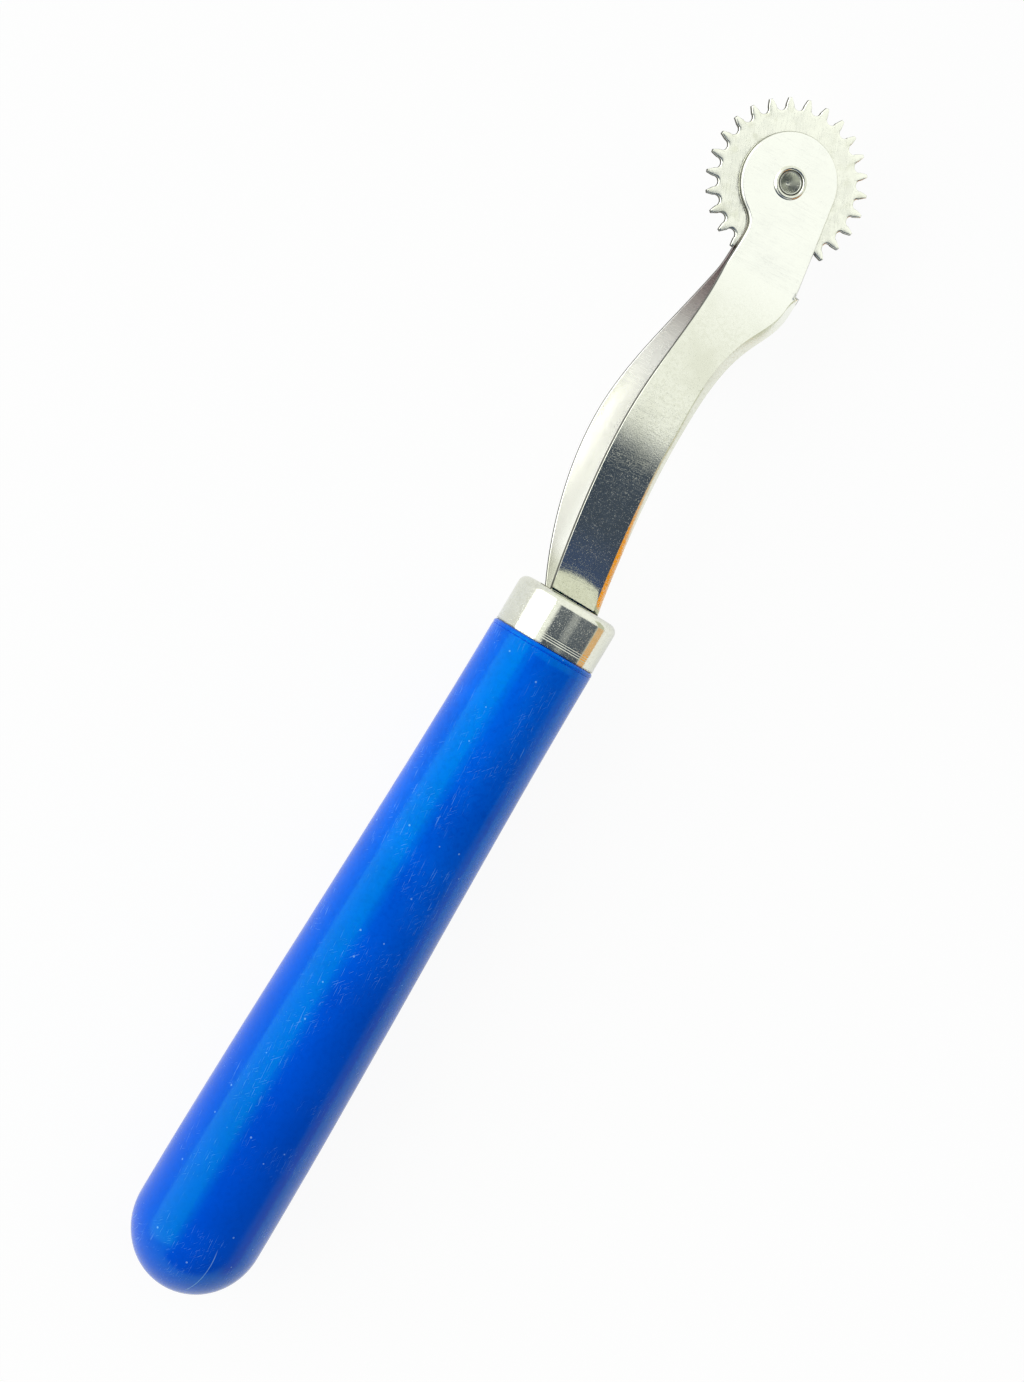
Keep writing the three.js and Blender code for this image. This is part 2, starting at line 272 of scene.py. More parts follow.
def turned(name, profile, centre, along):
    """Turns (place, radius) points round the X or the Z axis through centre. Both ends lie on the axis."""
    points, rings = [], []
    for place, radius in profile:
        if radius < ON_AXIS:
            rings.append([len(points)] * TURN_SEGMENTS)
            points.append((place, 0.0, 0.0))
            continue
        rings.append(list(range(len(points), len(points) + TURN_SEGMENTS)))
        for step in range(TURN_SEGMENTS):
            turn = 2 * math.pi * step / TURN_SEGMENTS
            points.append((place, radius * math.cos(turn), radius * math.sin(turn)))
    faces = []
    for ring, after in zip(rings, rings[1:]):
        for step in range(TURN_SEGMENTS):
            following = (step + 1) % TURN_SEGMENTS
            corners = [ring[step], ring[following], after[following], after[step]]
            faces.append(list(dict.fromkeys(corners)))
    if along == "Z":
        points = [(y, z, x) for x, y, z in points]
    return piece_from(name, [Vector(p) + centre for p in points], [f for f in faces if len(f) > 2])


def arc(middle, radius, start, end, count):
    """Points on an arc, both ends among them; radius may be a pair, for an ellipse."""
    across, up = radius if isinstance(radius, tuple) else (radius, radius)
    turns = [start + (end - start) * step / count for step in range(count + 1)]
    return [(middle[0] + across * math.cos(t), middle[1] + up * math.sin(t)) for t in turns]


def bezier(a, b, c, d, step=EDGE_STEP):
    """Points on a cubic curve about step apart, without its first point."""
    a, b, c, d = (Vector(p) for p in (a, b, c, d))
    count = max(4, round((d - a).length / step))
    curve = []
    for place in range(1, count + 1):
        t = place / count
        u = 1 - t
        curve.append(tuple(a * u ** 3 + b * 3 * t * u ** 2 + c * 3 * t * t * u + d * t ** 3))
    return curve


def line(a, b, step=EDGE_STEP):
    """Points on a straight line about step apart, without its first point."""
    a, b = Vector(a), Vector(b)
    count = max(1, round((b - a).length / step))
    return [tuple(a.lerp(b, place / count)) for place in range(1, count + 1)]


def carved(piece, cutter):
    """Cuts the cutter out of the piece and removes the cutter."""
    cut = piece.modifiers.new("Cut", "BOOLEAN")
    cut.object = cutter
    cut.solver = "EXACT"
    cut.operation = "DIFFERENCE"
    bake_modifiers(piece)
    bpy.data.objects.remove(cutter)
    return piece


def bake_modifiers(piece):
    """Turns the piece's modifiers into a plain mesh and removes them."""
    evaluated = piece.evaluated_get(bpy.context.evaluated_depsgraph_get())
    mesh = bpy.data.meshes.new_from_object(evaluated)
    piece.modifiers.clear()
    piece.data = mesh
    soften(mesh)


def rounded_bar(half_width, half_height, corner, start, end):
    """A bar along X whose section has round corners, for cutting a slot or a pocket."""
    section = []
    for quarter, (side, up) in enumerate(((1, 1), (-1, 1), (-1, -1), (1, -1))):
        middle = (side * (half_width - corner), up * (half_height - corner))
        section += arc(middle, corner, quarter * math.pi / 2, (quarter + 1) * math.pi / 2, 6)
    count = len(section)
    points = [(x, y, z) for x in (start, end) for y, z in section]
    faces = [[i, (i + 1) % count, count + (i + 1) % count, count + i] for i in range(count)]
    return points, faces + [list(range(count)), list(range(count, 2 * count))]


def dress(piece, body, slot, finish, *nodes):
    """Gives a piece its finish and its place in the frame."""
    piece.data.materials.clear()
    piece.data.materials.append(finish)
    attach(piece, body)
    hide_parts(*nodes)


# Materials

def add(tree, kind, inputs=None, **fields):
    """Adds a node with its fields set and its inputs set or linked."""
    node = tree.nodes.new(kind)
    for field, value in fields.items():
        setattr(node, field, value)
    for socket, value in (inputs or {}).items():
        if isinstance(value, bpy.types.NodeSocket):
            tree.links.new(value, node.inputs[socket])
        else:
            node.inputs[socket].default_value = value
    return node


def new_material(name):
    """An empty node material and its tree."""
    material = bpy.data.materials.new(name)
    material.use_nodes = True
    material.node_tree.nodes.clear()
    return material, material.node_tree


def surfaced(material, shader):
    """The material with this shader as its surface."""
    add(material.node_tree, "ShaderNodeOutputMaterial", {"Surface": shader.outputs[0]})
    return material


def place_on(tree, centre, degrees=0.0, stretch=(1, 1, 1)):
    """Object coordinates in millimetres, measured from a point of the frame. A pattern on them is turned
    about Z by so many degrees and stretched along its own axes."""
    here = add(tree, "ShaderNodeTexCoord").outputs["Object"]
    moved = add(tree, "ShaderNodeVectorMath", {0: here, 1: tuple(centre)}, operation="SUBTRACT")
    grown = add(tree, "ShaderNodeVectorMath", {0: moved.outputs[0], "Scale": 1 / MM}, operation="SCALE")
    inputs = {"Vector": grown.outputs[0], "Rotation": (0, 0, math.radians(degrees)), "Scale": stretch}
    return add(tree, "ShaderNodeMapping", inputs, vector_type="TEXTURE").outputs[0]


def axes(vector):
    """The X, Y and Z parts of a vector."""
    apart = add(vector.id_data, "ShaderNodeSeparateXYZ", {"Vector": vector}).outputs
    return apart["X"], apart["Y"], apart["Z"]


def cloud(where, size, detail=3.0):
    """Soft noise whose features are about size millimetres across."""
    inputs = {"Vector": where, "Scale": 1 / size, "Detail": detail}
    return add(where.id_data, "ShaderNodeTexNoise", inputs).outputs[0]


def between(value, low, high, start=0.0, end=1.0):
    """Maps value from low..high to start..end with a smooth step."""
    inputs = {"Value": value, "From Min": low, "From Max": high, "To Min": start, "To Max": end}
    return add(value.id_data, "ShaderNodeMapRange", inputs, interpolation_type="SMOOTHSTEP").outputs[0]


def fading(value, low, high, end=0.0):
    """Maps value from low..high to 1..end with a smooth step."""
    return between(value, low, high, 1.0, end)


def scratches(tree, centre, degrees, width, run, cover):
    """Fine straight scratches, so many degrees from +X: stretched noise that is cut off near its peaks."""
    where = place_on(tree, centre, degrees, (run, width, run))
    streak = add(tree, "ShaderNodeTexNoise", {"Vector": where, "Scale": 1.0, "Detail": 2.0, "Roughness": 0.6})
    return between(streak.outputs[0], cover, cover + 0.08)


def reckoned(operation, a, b=0.0, clamp=False):
    """The result of a Math node on a socket and a second socket or a number."""
    return add(a.id_data, "ShaderNodeMath", {0: a, 1: b}, operation=operation, use_clamp=clamp).outputs[0]


def plus(a, b, clamp=False):
    return reckoned("ADD", a, b, clamp)


def less(a, b):
    return reckoned("SUBTRACT", a, b)


def times(a, b):
    return reckoned("MULTIPLY", a, b)


def most(a, b):
    return reckoned("MAXIMUM", a, b)


def magnitude(a):
    return reckoned("ABSOLUTE", a)


def mixed(share, a, b):
    """A colour between a and b."""
    inputs = {"Factor": share}
    for socket, value in ((6, a), (7, b)):
        inputs[socket] = value if isinstance(value, bpy.types.NodeSocket) else (*value, 1)
    return add(share.id_data, "ShaderNodeMix", inputs, data_type="RGBA").outputs[2]


def bumped(height, strength):
    """Normals of a surface with this height, where 1 stands for 0.02 mm."""
    inputs = {"Height": height, "Strength": strength, "Distance": 0.02 * MM}
    return add(height.id_data, "ShaderNodeBump", inputs).outputs[0]


def moulded_plastic(finish):
    """Gloss polystyrene, injection moulded: a clear blue that is a little paler towards the ferrule, with a
    soft highlight, a few pale specks and light handling scratches that catch the light."""
    material, tree = new_material("Gloss moulded polystyrene, blue")
    centre = tool_origin()
    where = place_on(tree, centre)
    along, aside, up = axes(where)
    base = mixed(between(along, -66.0, -16.0), finish.plastic, finish.plastic_front)
    flow = between(cloud(where, 9.0), 0.35, 0.75, 0.0, 0.5)
    flow = plus(flow, between(cloud(where, 0.6), 0.4, 0.75, 0.0, 0.3), clamp=True)
    base = mixed(flow, base, finish.plastic_deep)

    # Specks about 0.2 mm across, a few millimetres apart, in some of the cells only
    spacing, speck_core, speck_rim = 1.9, 0.05, 0.085
    cells = add(tree, "ShaderNodeTexVoronoi", {"Vector": where, "Scale": 1 / spacing}).outputs
    near = fading(cells["Distance"], speck_core, speck_rim)
    chosen = add(tree, "ShaderNodeSeparateColor", {"Color": cells["Color"]}).outputs[0]
    specks = times(near, between(chosen, 0.4, 0.45))

    # One long curved scratch over the butt, a shallow arc seen from above
    back, right, curve = 86.0, 1.88, 0.032
    run = plus(along, back)
    off = less(plus(aside, right), times(times(run, run), curve))
    ends = times(between(run, -4.6, -3.6), fading(run, 2.0, 3.4))
    curved = times(fading(magnitude(off), 0.03, 0.08), times(ends, between(up, 0.0, 1.0)))

    lengthwise = scratches(tree, centre, 4, 0.1, 2.6, 0.63)
    slanted = scratches(tree, centre, -38, 0.09, 1.3, 0.64)
    worn = times(most(lengthwise, slanted), between(cloud(where, 6.0), 0.42, 0.62, 0.0, 0.8))
    pale = most(most(times(specks, 0.6), times(worn, 0.4)), times(curved, 0.6))
    rough = between(cloud(where, 5.0), 0.3, 0.7, 0.14, 0.22)
    height = less(times(cloud(where, 0.9, 2.0), 0.25), worn)
    shader = add(tree, "ShaderNodeBsdfPrincipled", {
        "Base Color": mixed(pale, base, finish.speck), "Roughness": plus(rough, times(worn, 0.3), clamp=True),
        "Normal": bumped(height, 0.25), "IOR": 1.45, "Specular IOR Level": 0.7,
        "Specular Tint": (*linear("#00EBAA"), 1),
    })
    return surfaced(material, shader)


def plated(tree, where, finish, sets, rough, grain, worn=1.0):
    """Colour, roughness and height of nickel plate: soft stains, fine straight scratches, specks that scatter
    the light and a little rolling grain. Each of sets is (turn in degrees, width, run, cover), rough is the
    least and the most, and worn is how strongly the specks show."""
    stain = times(between(cloud(where, 4.5, 5.0), 0.45, 0.7), 0.6)
    mottle = between(cloud(where, 0.4, 4.0), 0.4, 0.7, 0.0, 0.55)
    base = mixed(most(stain, mottle), finish.nickel, finish.nickel_dull)
    lines = None
    for degrees, width, run, cover in sets:
        here = scratches(tree, axle(), degrees, width, run, cover)
        lines = here if lines is None else most(lines, here)
    roughness = plus(between(cloud(where, 2.2, 4.0), 0.3, 0.75, *rough), times(lines, 0.1))
    specks = between(cloud(where, 0.15, 2.0), 0.57, 0.68, 0.0, 0.34)
    roughness = plus(roughness, times(specks, worn))
    height = less(cloud(where, grain, 3.0), times(lines, 0.14))
    return base, roughness, height


def metal(material, base, roughness, height, strength, metallic=1.0):
    """The material finished as a metal with a fine bump."""
    return surfaced(material, add(material.node_tree, "ShaderNodeBsdfPrincipled", {
        "Base Color": base, "Metallic": metallic, "Roughness": roughness, "Normal": bumped(height, strength),
    }))


def upright(tree):
    """How far the surface looks up: 1 on the sheet's upper face, 0 on its walls and -1 underneath."""
    return axes(add(tree, "ShaderNodeNewGeometry").outputs["Normal"])[2]


def sheared_walls_and_shade(tree, base, roughness, finish):
    """Rougher walls where the sheet was sheared by the press, darkened partly as bare sheared metal and
    partly as painted shade.
    """
    # Painted shade in part: walls, found by their facing, darken towards the sheared colour
    wall = fading(magnitude(upright(tree)), 0.3, 0.62)
    base = mixed(times(wall, 0.92), base, finish.sheared_and_shade)
    return base, plus(roughness, times(wall, 0.3), clamp=True)


def ferrule_plate(finish):
    """Bright nickel on a pressed ferrule: nearly a mirror, with fine lines drawn along it and round it."""
    material, tree = new_material("Bright nickel on a pressed ferrule")
    where = place_on(tree, axle())
    sets = ((0, 0.14, 6.0, 0.6), (6, 0.08, 3.0, 0.62), (-35, 0.06, 1.2, 0.66))
    return metal(material, *plated(tree, where, finish, sets, (0.03, 0.06), 0.22), 0.15)


def leaf_plate(name, finish, inward):
    """Bright nickel on stamped strip: a warm mirror with fine cross scratches and rolling grain, a paler flat
    head and sheared walls, darkened partly as bare metal and partly as painted shade. The inner face, on the
    side that inward names, is painted pale as a painted highlight, with a dull film and purple brown painted
    shade in the narrow neck."""
    material, tree = new_material(name)
    where = place_on(tree, axle())
    along = axes(where)[0]
    inside = between(times(upright(tree), inward), 0.2, 0.5)
    sets = ((95, 0.06, 5.0, 0.6), (99, 0.045, 3.0, 0.63), (72, 0.05, 4.0, 0.68))
    worn = times(fading(along, -22.0, -12.0, 0.25), fading(inside, 0.0, 1.0, 0.1))
    base, roughness, height = plated(tree, where, finish, sets, (0.1, 0.17), 0.16, worn)
    base = mixed(between(along, -24.0, -9.0), base, finish.nickel_head)
    # Painted highlight: the inner faces turn near white past the dull stretch next to the ferrule
    inner = mixed(between(along, -54.5, -51.0), finish.nickel_dull, finish.inside)
    # Painted shade: the inner faces darken purple brown in the narrow neck between the parts
    neck_shade = times(between(along, -27.0, -13.0), fading(along, -8.0, -4.0))
    base = mixed(inside, base, mixed(neck_shade, inner, finish.neck_shade_colour))
    film = times(inside, between(along, -32.0, -25.0))
    roughness = plus(roughness, times(film, 0.12))
    height = times(height, fading(inside, 0.0, 1.0, 0.3))
    height = times(height, fading(along, -20.0, -10.0, 0.35))
    base, roughness = sheared_walls_and_shade(tree, base, roughness, finish)
    return metal(material, base, roughness, height, 0.5, fading(film, 0.0, 1.0, 0.4))


def rivet_plate(finish):
    """Bright nickel on a set rivet: a clean rolled lip, painted shade in the crevice of its mouth and a
    hollow whose metal is bare and dull."""
    material, tree = new_material("Bright nickel on a set rivet")
    where = place_on(tree, axle())
    sets = ((15, 0.08, 0.9, 0.6), (-60, 0.06, 0.7, 0.62))
    base, roughness, height = plated(tree, where, finish, sets, (0.14, 0.22), 0.15)
    x, y, up = axes(where)
    flat = add(tree, "ShaderNodeCombineXYZ", {"X": x, "Y": y}).outputs[0]
    out = add(tree, "ShaderNodeVectorMath", {0: flat}, operation="LENGTH").outputs["Value"]
    front = between(up, -0.2, 0.0)
    crevice = 1.43
    hollow = times(fading(out, 1.38, 1.5), front)
    # Painted shade: a dark ring in the crevice at the hollow's mouth, in the sheared colour
    crevice_shade = times(between(magnitude(less(out, crevice)), 0.04, 0.12, 0.85, 0.0), front)
    base = mixed(crevice_shade, mixed(hollow, base, finish.hollow), finish.sheared_and_shade)
    return metal(material, base, plus(roughness, times(hollow, 0.1)), height, 0.35)


def satin_steel(finish):
    """Satin nickel on stamped steel: a soft pale sheen with small stains, faint marks of rolling and
    sheared walls, darkened partly as bare metal and partly as painted shade."""
    material, tree = new_material("Satin nickel on stamped steel")
    where = place_on(tree, axle())
    stain = times(between(cloud(where, 1.6, 6.0), 0.48, 0.7), 0.4)
    rolled = scratches(tree, axle(), 24, 0.09, 2.4, 0.58)
    roughness = between(cloud(where, 1.1, 4.0), 0.3, 0.7, 0.2, 0.3)
    height = plus(cloud(where, 0.16, 3.0), times(rolled, 0.4))
    base = mixed(stain, finish.steel, finish.steel_dull)
    base, roughness = sheared_walls_and_shade(tree, base, roughness, finish)
    return metal(material, base, roughness, height, 0.35)


# The handle and the ferrule

class TRACINGWHEEL_OT_handle(bpy.types.Operator):
    """Make the moulded handle: domed butt, slow taper, rounded rim, spigot and tang pocket"""
    bl_idname = "tracing_wheel.handle"
    bl_label = "Make Handle"

    def execute(self, context):
        size = settings().handle
        low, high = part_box("handle")
        centre = tool_origin()
        back_radius = (high.z - low.z) / 2
        butt_end = low.x - centre.x
        taper_start = butt_end + size.butt
        rim_start = -size.rim
        profile = arc((taper_start, 0), (size.butt, back_radius), math.pi, math.pi / 2, 28)
        taper_steps = 64
        line_start = -size.line_place - size.line_width / 2
        line_end = -size.line_place + size.line_width / 2
        for step in range(1, taper_steps + 1):
            place = taper_start + (rim_start - taper_start) * step / taper_steps
            if not line_start < place < line_end:
                profile.append((place, self.radius(place, taper_start, rim_start, back_radius, size)))
        line_steps = 8
        for step in range(line_steps + 1):
            place = line_start + (line_end - line_start) * step / line_steps
            depth = size.line_depth * math.sin(math.pi * step / line_steps) ** 2
            profile.append((place, self.radius(place, taper_start, rim_start, back_radius, size) - depth))
        profile.sort()
        profile += arc((rim_start, size.front_radius - size.rim), size.rim, math.pi / 2, 0, 8)[1:]
        spigot_end = high.x - centre.x
        profile += [(0.0, size.spigot_radius), (spigot_end, size.spigot_radius), (spigot_end, 0.0)]
        piece = turned("handle_moulding", profile, centre, "X")
        pocket_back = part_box("front_leaf")[0].x - centre.x
        half_width, half_height, corner = size.pocket_width / 2, size.pocket_height / 2, 0.1 * MM
        points, faces = rounded_bar(half_width, half_height, corner, pocket_back, spigot_end + MM)
        carved(piece, piece_from("pocket", [Vector(p) + centre for p in points], faces))
        dress(piece, "frame", "handle_plastic", moulded_plastic(settings().finish), "handle")
        return {"FINISHED"}

    @staticmethod
    def radius(place, start, end, back_radius, size):
        """The handle's radius, which swells smoothly from the rim to the butt."""
        share = min(1.0, max(0.0, (place - start) / (end - start)))
        return back_radius + (size.front_radius - back_radius) * share * share * (3 - 2 * share)


class TRACINGWHEEL_OT_ferrule(bpy.types.Operator):
    """Make the pressed ferrule: a cup with a rounded front edge, turned lines and a slot for the leaves"""
    bl_idname = "tracing_wheel.ferrule"
    bl_label = "Make Ferrule"

    def execute(self, context):
        size = settings().ferrule
        leaf = settings().leaf
        low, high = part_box("ferrule")
        centre = tool_origin()
        radius = (high.z - low.z) / 2
        front = high.x - centre.x
        corner = front - size.edge
        inner_edge = size.edge - size.wall
        profile = [(front, 0.0), (front, (radius - size.edge) * 0.6)]
        profile += arc((corner, radius - size.edge), size.edge, 0, math.pi / 2, 16)
        wall_steps = 120
        for step in range(1, wall_steps):
            place = corner * (1 - step / wall_steps)
            profile.append((place, radius - size.line_depth * self.line_share(place)))
        lead_in = 0.2 * MM
        profile += [(lead_in, radius), (0.0, radius - lead_in), (0.0, radius - size.wall)]
        profile += arc((corner, radius - size.edge), inner_edge, math.pi / 2, 0, 8)
        profile.append((front - size.wall, 0.0))
        piece = turned("ferrule_cup", profile, centre, "X")
        half_height = LeafShape(leaf).height_at_ferrule(front) + size.slot_face
        half_width = leaf.base_width / 2 + size.slot_side
        slot_back = front - 2 * size.wall
        points, faces = rounded_bar(half_width, half_height, size.slot_corner, slot_back, front + MM)
        shift = Vector((0, leaf.base_shift, 0))
        carved(piece, piece_from("slot", [Vector(p) + centre + shift for p in points], faces))
        dress(piece, "frame", "nickel_plate", ferrule_plate(settings().finish), "ferrule")
        return {"FINISHED"}

    @staticmethod
    def line_share(place):
        """Depth, as a share, of the three turned lines that stand 0.8 to 1.5 mm in front of the back rim."""
        depth = 0.0
        for middle, half in ((0.85, 0.1), (1.12, 0.08), (1.4, 0.06)):
            depth = max(depth, 1 - abs(place - middle * MM) / (half * MM))
        return max(0.0, depth)


# The leaves: lengths in this section are in millimetres

# Gap between the wheel's face and a leaf's inner face, and between the spigot's end face and the first bend
SIDE_GAP = 0.1
FIT_GAP = 0.05

# How a rolled edge falls away: its slope at the sheared wall, and how much less that is on the bent edge and
# before the crest. The bent edge also starts with a slope, which grows with the roll's width.
WALL_SLOPE = 2.8
BENT_LOSS = 1.7
CREST_LOSS = 0.3
START_SLOPE = 0.2
START_BY_WIDTH = 0.48

# Where the crest's loss fades, how soon the inner face follows the bend past the ferrule and by what share,
# and the height and reach of the burr on the inner edge
CREST_START = 14
CREST_RUN = 10
SLOT_RUN = 4
INNER_SHARE = 0.75
BURR = 0.05

# Fineness of the side profile, and rounds of smoothing where the edge's roll changes
BEND_STEPS = 60
BOW_STEPS = 600
ROLL_SMOOTHING = 12

# Rings of points along the edge, in shares of the roll's width, and points round the rivet's hole
EDGE_RINGS = (0.15, 0.35, 0.6, 0.85, 1.0, 1.3)
HOLE_SEGMENTS = 64

# A ring's point is left out where another stretch of the edge is nearer than this share of its own distance.
# The rows inside, and the room between them and the rings and the hole, are in steps.
RING_NEAREST = 0.93
ROW_SPACING = 0.7
RING_ROOM = 0.35
HOLE_ROOM = 0.25


class LeafShape:
    """A leaf's side profile and plan, in millimetres from the ferrule's back rim."""

    def __init__(self, size):
        mm = {name: getattr(size, name) / MM for name in (
            "sheet", "base_width", "base_shift", "width", "sway", "bend", "tang_width", "tang_length",
            "tang_gap", "head", "flat", "neck_back", "neck_side", "shoulder_back", "shoulder_side", "notch",
            "right_roll", "waist_roll", "left_roll", "head_roll",
        )}
        self.size = mm
        self.given = size
        origin = tool_origin()
        middle = axle()
        self.reach = (middle.x - origin.x) / MM
        self.offset = (middle.y - origin.y) / MM
        self.front = (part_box("ferrule")[1].x - origin.x) / MM
        self.tang_height = (mm["tang_gap"] + mm["sheet"]) / 2
        gap_face = (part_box("tracing_wheel")[1].z - origin.z) / MM
        self.head_height = gap_face + SIDE_GAP + mm["sheet"] / 2
        self.bow_start = (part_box("handle")[1].x - origin.x) / MM + FIT_GAP
        self.bow_end = self.reach - mm["flat"]

    def face(self, outward):
        """Places and heights along one face of the leaf's side profile."""
        bend, steep = self.size["bend"], self.given.bow
        ramp = (self.head_height - self.tang_height) / math.sin(steep)
        arc_start = self.bow_start + bend * math.sin(steep) + ramp * math.cos(steep)
        arc_end = self.bow_end - bend * math.sin(steep)
        radius = (arc_end - arc_start) / (2 * math.sin(steep))
        middle = (arc_start + arc_end) / 2
        centre_height = self.head_height + bend * (1 - math.cos(steep)) - radius * math.cos(steep)
        down, up = -math.pi / 2, math.pi / 2
        points = [(-self.size["tang_length"] - 1, self.tang_height + outward)]
        first, last = (self.bow_start, self.tang_height + bend), (self.bow_end, self.head_height + bend)
        points += arc(first, bend - outward, down, down + steep, BEND_STEPS)
        points += arc((middle, centre_height), radius + outward, up + steep, up - steep, BOW_STEPS)
        points += arc(last, bend - outward, down - steep, down, BEND_STEPS)
        points.append((self.reach + self.size["head"], self.head_height + outward))
        places, heights = zip(*points)
        return np.array(places), np.array(heights)

    def height_at_ferrule(self, place):
        """Height of the outer face where the leaf leaves the ferrule, in metres."""
        return float(np.interp(place / MM, *self.face(self.size["sheet"] / 2))) * MM

    def outline(self):
        """The plan's outline as points, each with the width of the rolled edge there and how far it is bent
        down: 1 for the bent right edge and 0 where the edge is only rounded."""
        s, given = self.size, self.given
        middle = (self.front + self.bow_end) / 2
        run = middle - self.front
        crest, waist = s["sway"] + s["width"] / 2, s["sway"] - s["width"] / 2
        left, right = s["base_shift"] + s["base_width"] / 2, s["base_shift"] - s["base_width"] / 2
        ease, tail = run * given.ferrule_ease, run * given.crest_ease
        climb = ease * math.tan(given.lean)
        radius = s["head"] / 2
        tang_shoulder = self.bow_start + FIT_GAP
        shoulder = (self.reach - s["shoulder_back"], self.offset - s["shoulder_side"])
        notch = (shoulder[0], shoulder[1] + s["notch"])
        from_head = Vector(notch) - Vector((self.reach, self.offset))
        tangent = math.atan2(from_head.y, from_head.x) + math.acos(radius / from_head.length)
        neck = (self.reach - s["neck_back"], self.offset + s["neck_side"])
        join = (math.cos(given.neck_join), math.sin(given.neck_join))
        neck_reach = s["head"] * given.neck_ease
        joint = (self.reach + join[0] * radius, self.offset + join[1] * radius)
        touch = (self.reach + radius * math.cos(tangent), self.offset + radius * math.sin(tangent))
        head_steps = round((given.neck_join - tangent) * radius / EDGE_STEP)
        half_tang = s["tang_width"] / 2
        end = -s["tang_length"]
        plain, right_roll, left_roll, head_roll = 0.08, s["right_roll"], s["left_roll"], s["head_roll"]
        stretches = [
            (line((end, half_tang), (end, -half_tang), 2), plain),
            (line((end, -half_tang), (tang_shoulder, -half_tang), 2), plain),
            (line((tang_shoulder, -half_tang), (tang_shoulder, right), 1), plain),
            (line((tang_shoulder, right), (self.front, right)), right_roll),
            (bezier((self.front, right), (self.front + ease, right + climb), (middle - tail, waist),
                    (middle, waist)), right_roll),
            (bezier((middle, waist), (middle + run * given.waist_ease, waist),
                    (shoulder[0] - run * given.shoulder_ease, shoulder[1]), shoulder), right_roll),
            (line(shoulder, notch), head_roll),
            (line(notch, touch), head_roll),
            (arc((self.reach, self.offset), radius, tangent, given.neck_join, head_steps)[1:], head_roll),
            (bezier(joint, (joint[0] - join[1] * neck_reach, joint[1] + join[0] * neck_reach),
                    (neck[0] + neck_reach, neck[1]), neck), head_roll),
            (bezier(neck, (neck[0] - tail, neck[1]), (middle + tail, crest), (middle, crest)), left_roll),
            (bezier((middle, crest), (middle - tail, crest), (self.front + ease, left + climb),
                    (self.front, left)), left_roll),
            (line((self.front, left), (tang_shoulder, left)), left_roll),
            (line((tang_shoulder, left), (tang_shoulder, half_tang), 1), plain),
            (line((tang_shoulder, half_tang), (end, half_tang), 2), plain),
        ]
        points = [p for stretch, _ in stretches for p in stretch]
        rolls = np.array([roll for stretch, roll in stretches for _ in stretch])
        bent = np.array([float(roll == right_roll) for stretch, roll in stretches for _ in stretch])
        places = np.array(points)
        past = (places[:, 0] - middle) / (shoulder[0] - middle)
        waisted = (places[:, 1] <= waist + 0.01) & (past > 0) & (past < 1)
        skew = 1.1
        rolls[waisted] += (s["waist_roll"] - right_roll) * np.sin(math.pi * past[waisted] ** skew)
        for _ in range(ROLL_SMOOTHING):
            rolls = (np.roll(rolls, 1) + 2 * rolls + np.roll(rolls, -1)) / 4
            bent = (np.roll(bent, 1) + 2 * bent + np.roll(bent, -1)) / 4
        return points, rolls, bent


def plate(outline, rolls, hole, hole_centre, step):
    """Fills a plan outline with small triangles: rings along the edge, a grid inside and a round hole."""
    count = len(outline)
    edge = np.array(outline)
    tangents = np.roll(edge, -1, axis=0) - np.roll(edge, 1, axis=0)
    tangents /= np.linalg.norm(tangents, axis=1)[:, None]
    inward = np.stack([-tangents[:, 1], tangents[:, 0]], axis=1)
    finder = KDTree(count)
    for i, (x, y) in enumerate(outline):
        finder.insert((x, y, 0), i)
    finder.balance()

    def distance(x, y):
        _, nearest, _ = finder.find((x, y, 0))
        return abs(np.dot(np.array((x, y)) - edge[nearest], inward[nearest])), nearest

    inside = []
    for share in EDGE_RINGS:
        ring = edge + inward * (rolls * share)[:, None]
        for i, (x, y) in enumerate(ring):
            _, _, gap = finder.find((x, y, 0))
            if gap > RING_NEAREST * rolls[i] * share:
                inside.append((x, y))
    low, high = edge.min(axis=0), edge.max(axis=0)
    for i, x in enumerate(np.arange(low[0] + step / 2, high[0], step * ROW_SPACING)):
        for y in np.arange(low[1] + (step / 2 if i % 2 else 0.0), high[1], step):
            _, nearest, gap = finder.find((x, y, 0))
            within = np.dot(np.array((x, y)) - edge[nearest], inward[nearest]) > 0
            if within and gap > EDGE_RINGS[-1] * rolls[nearest] + RING_ROOM * step:
                inside.append((x, y))
    hole_ring = arc(hole_centre, hole, 0, 2 * math.pi, HOLE_SEGMENTS)[:-1]
    inside = [p for p in inside if math.dist(p, hole_centre) > hole + HOLE_ROOM * step]
    points = [Vector(p) for p in [*outline, *hole_ring, *inside]]
    edges = [(i, (i + 1) % count) for i in range(count)]
    edges += [(count + i, count + (i + 1) % HOLE_SEGMENTS) for i in range(HOLE_SEGMENTS)]
    only_inside, tolerance = 1, 1e-5
    found = delaunay_2d_cdt(points, edges, [list(range(count))], only_inside, tolerance)
    spots = [(p.x, p.y) for p in found[0]]
    triangles = []
    well_inside = 0.98 * hole
    for face in found[2]:
        middle = np.mean([spots[i] for i in face], axis=0)
        if math.dist(middle, hole_centre) > well_inside:
            triangles.append(list(face))
    return spots, triangles, distance


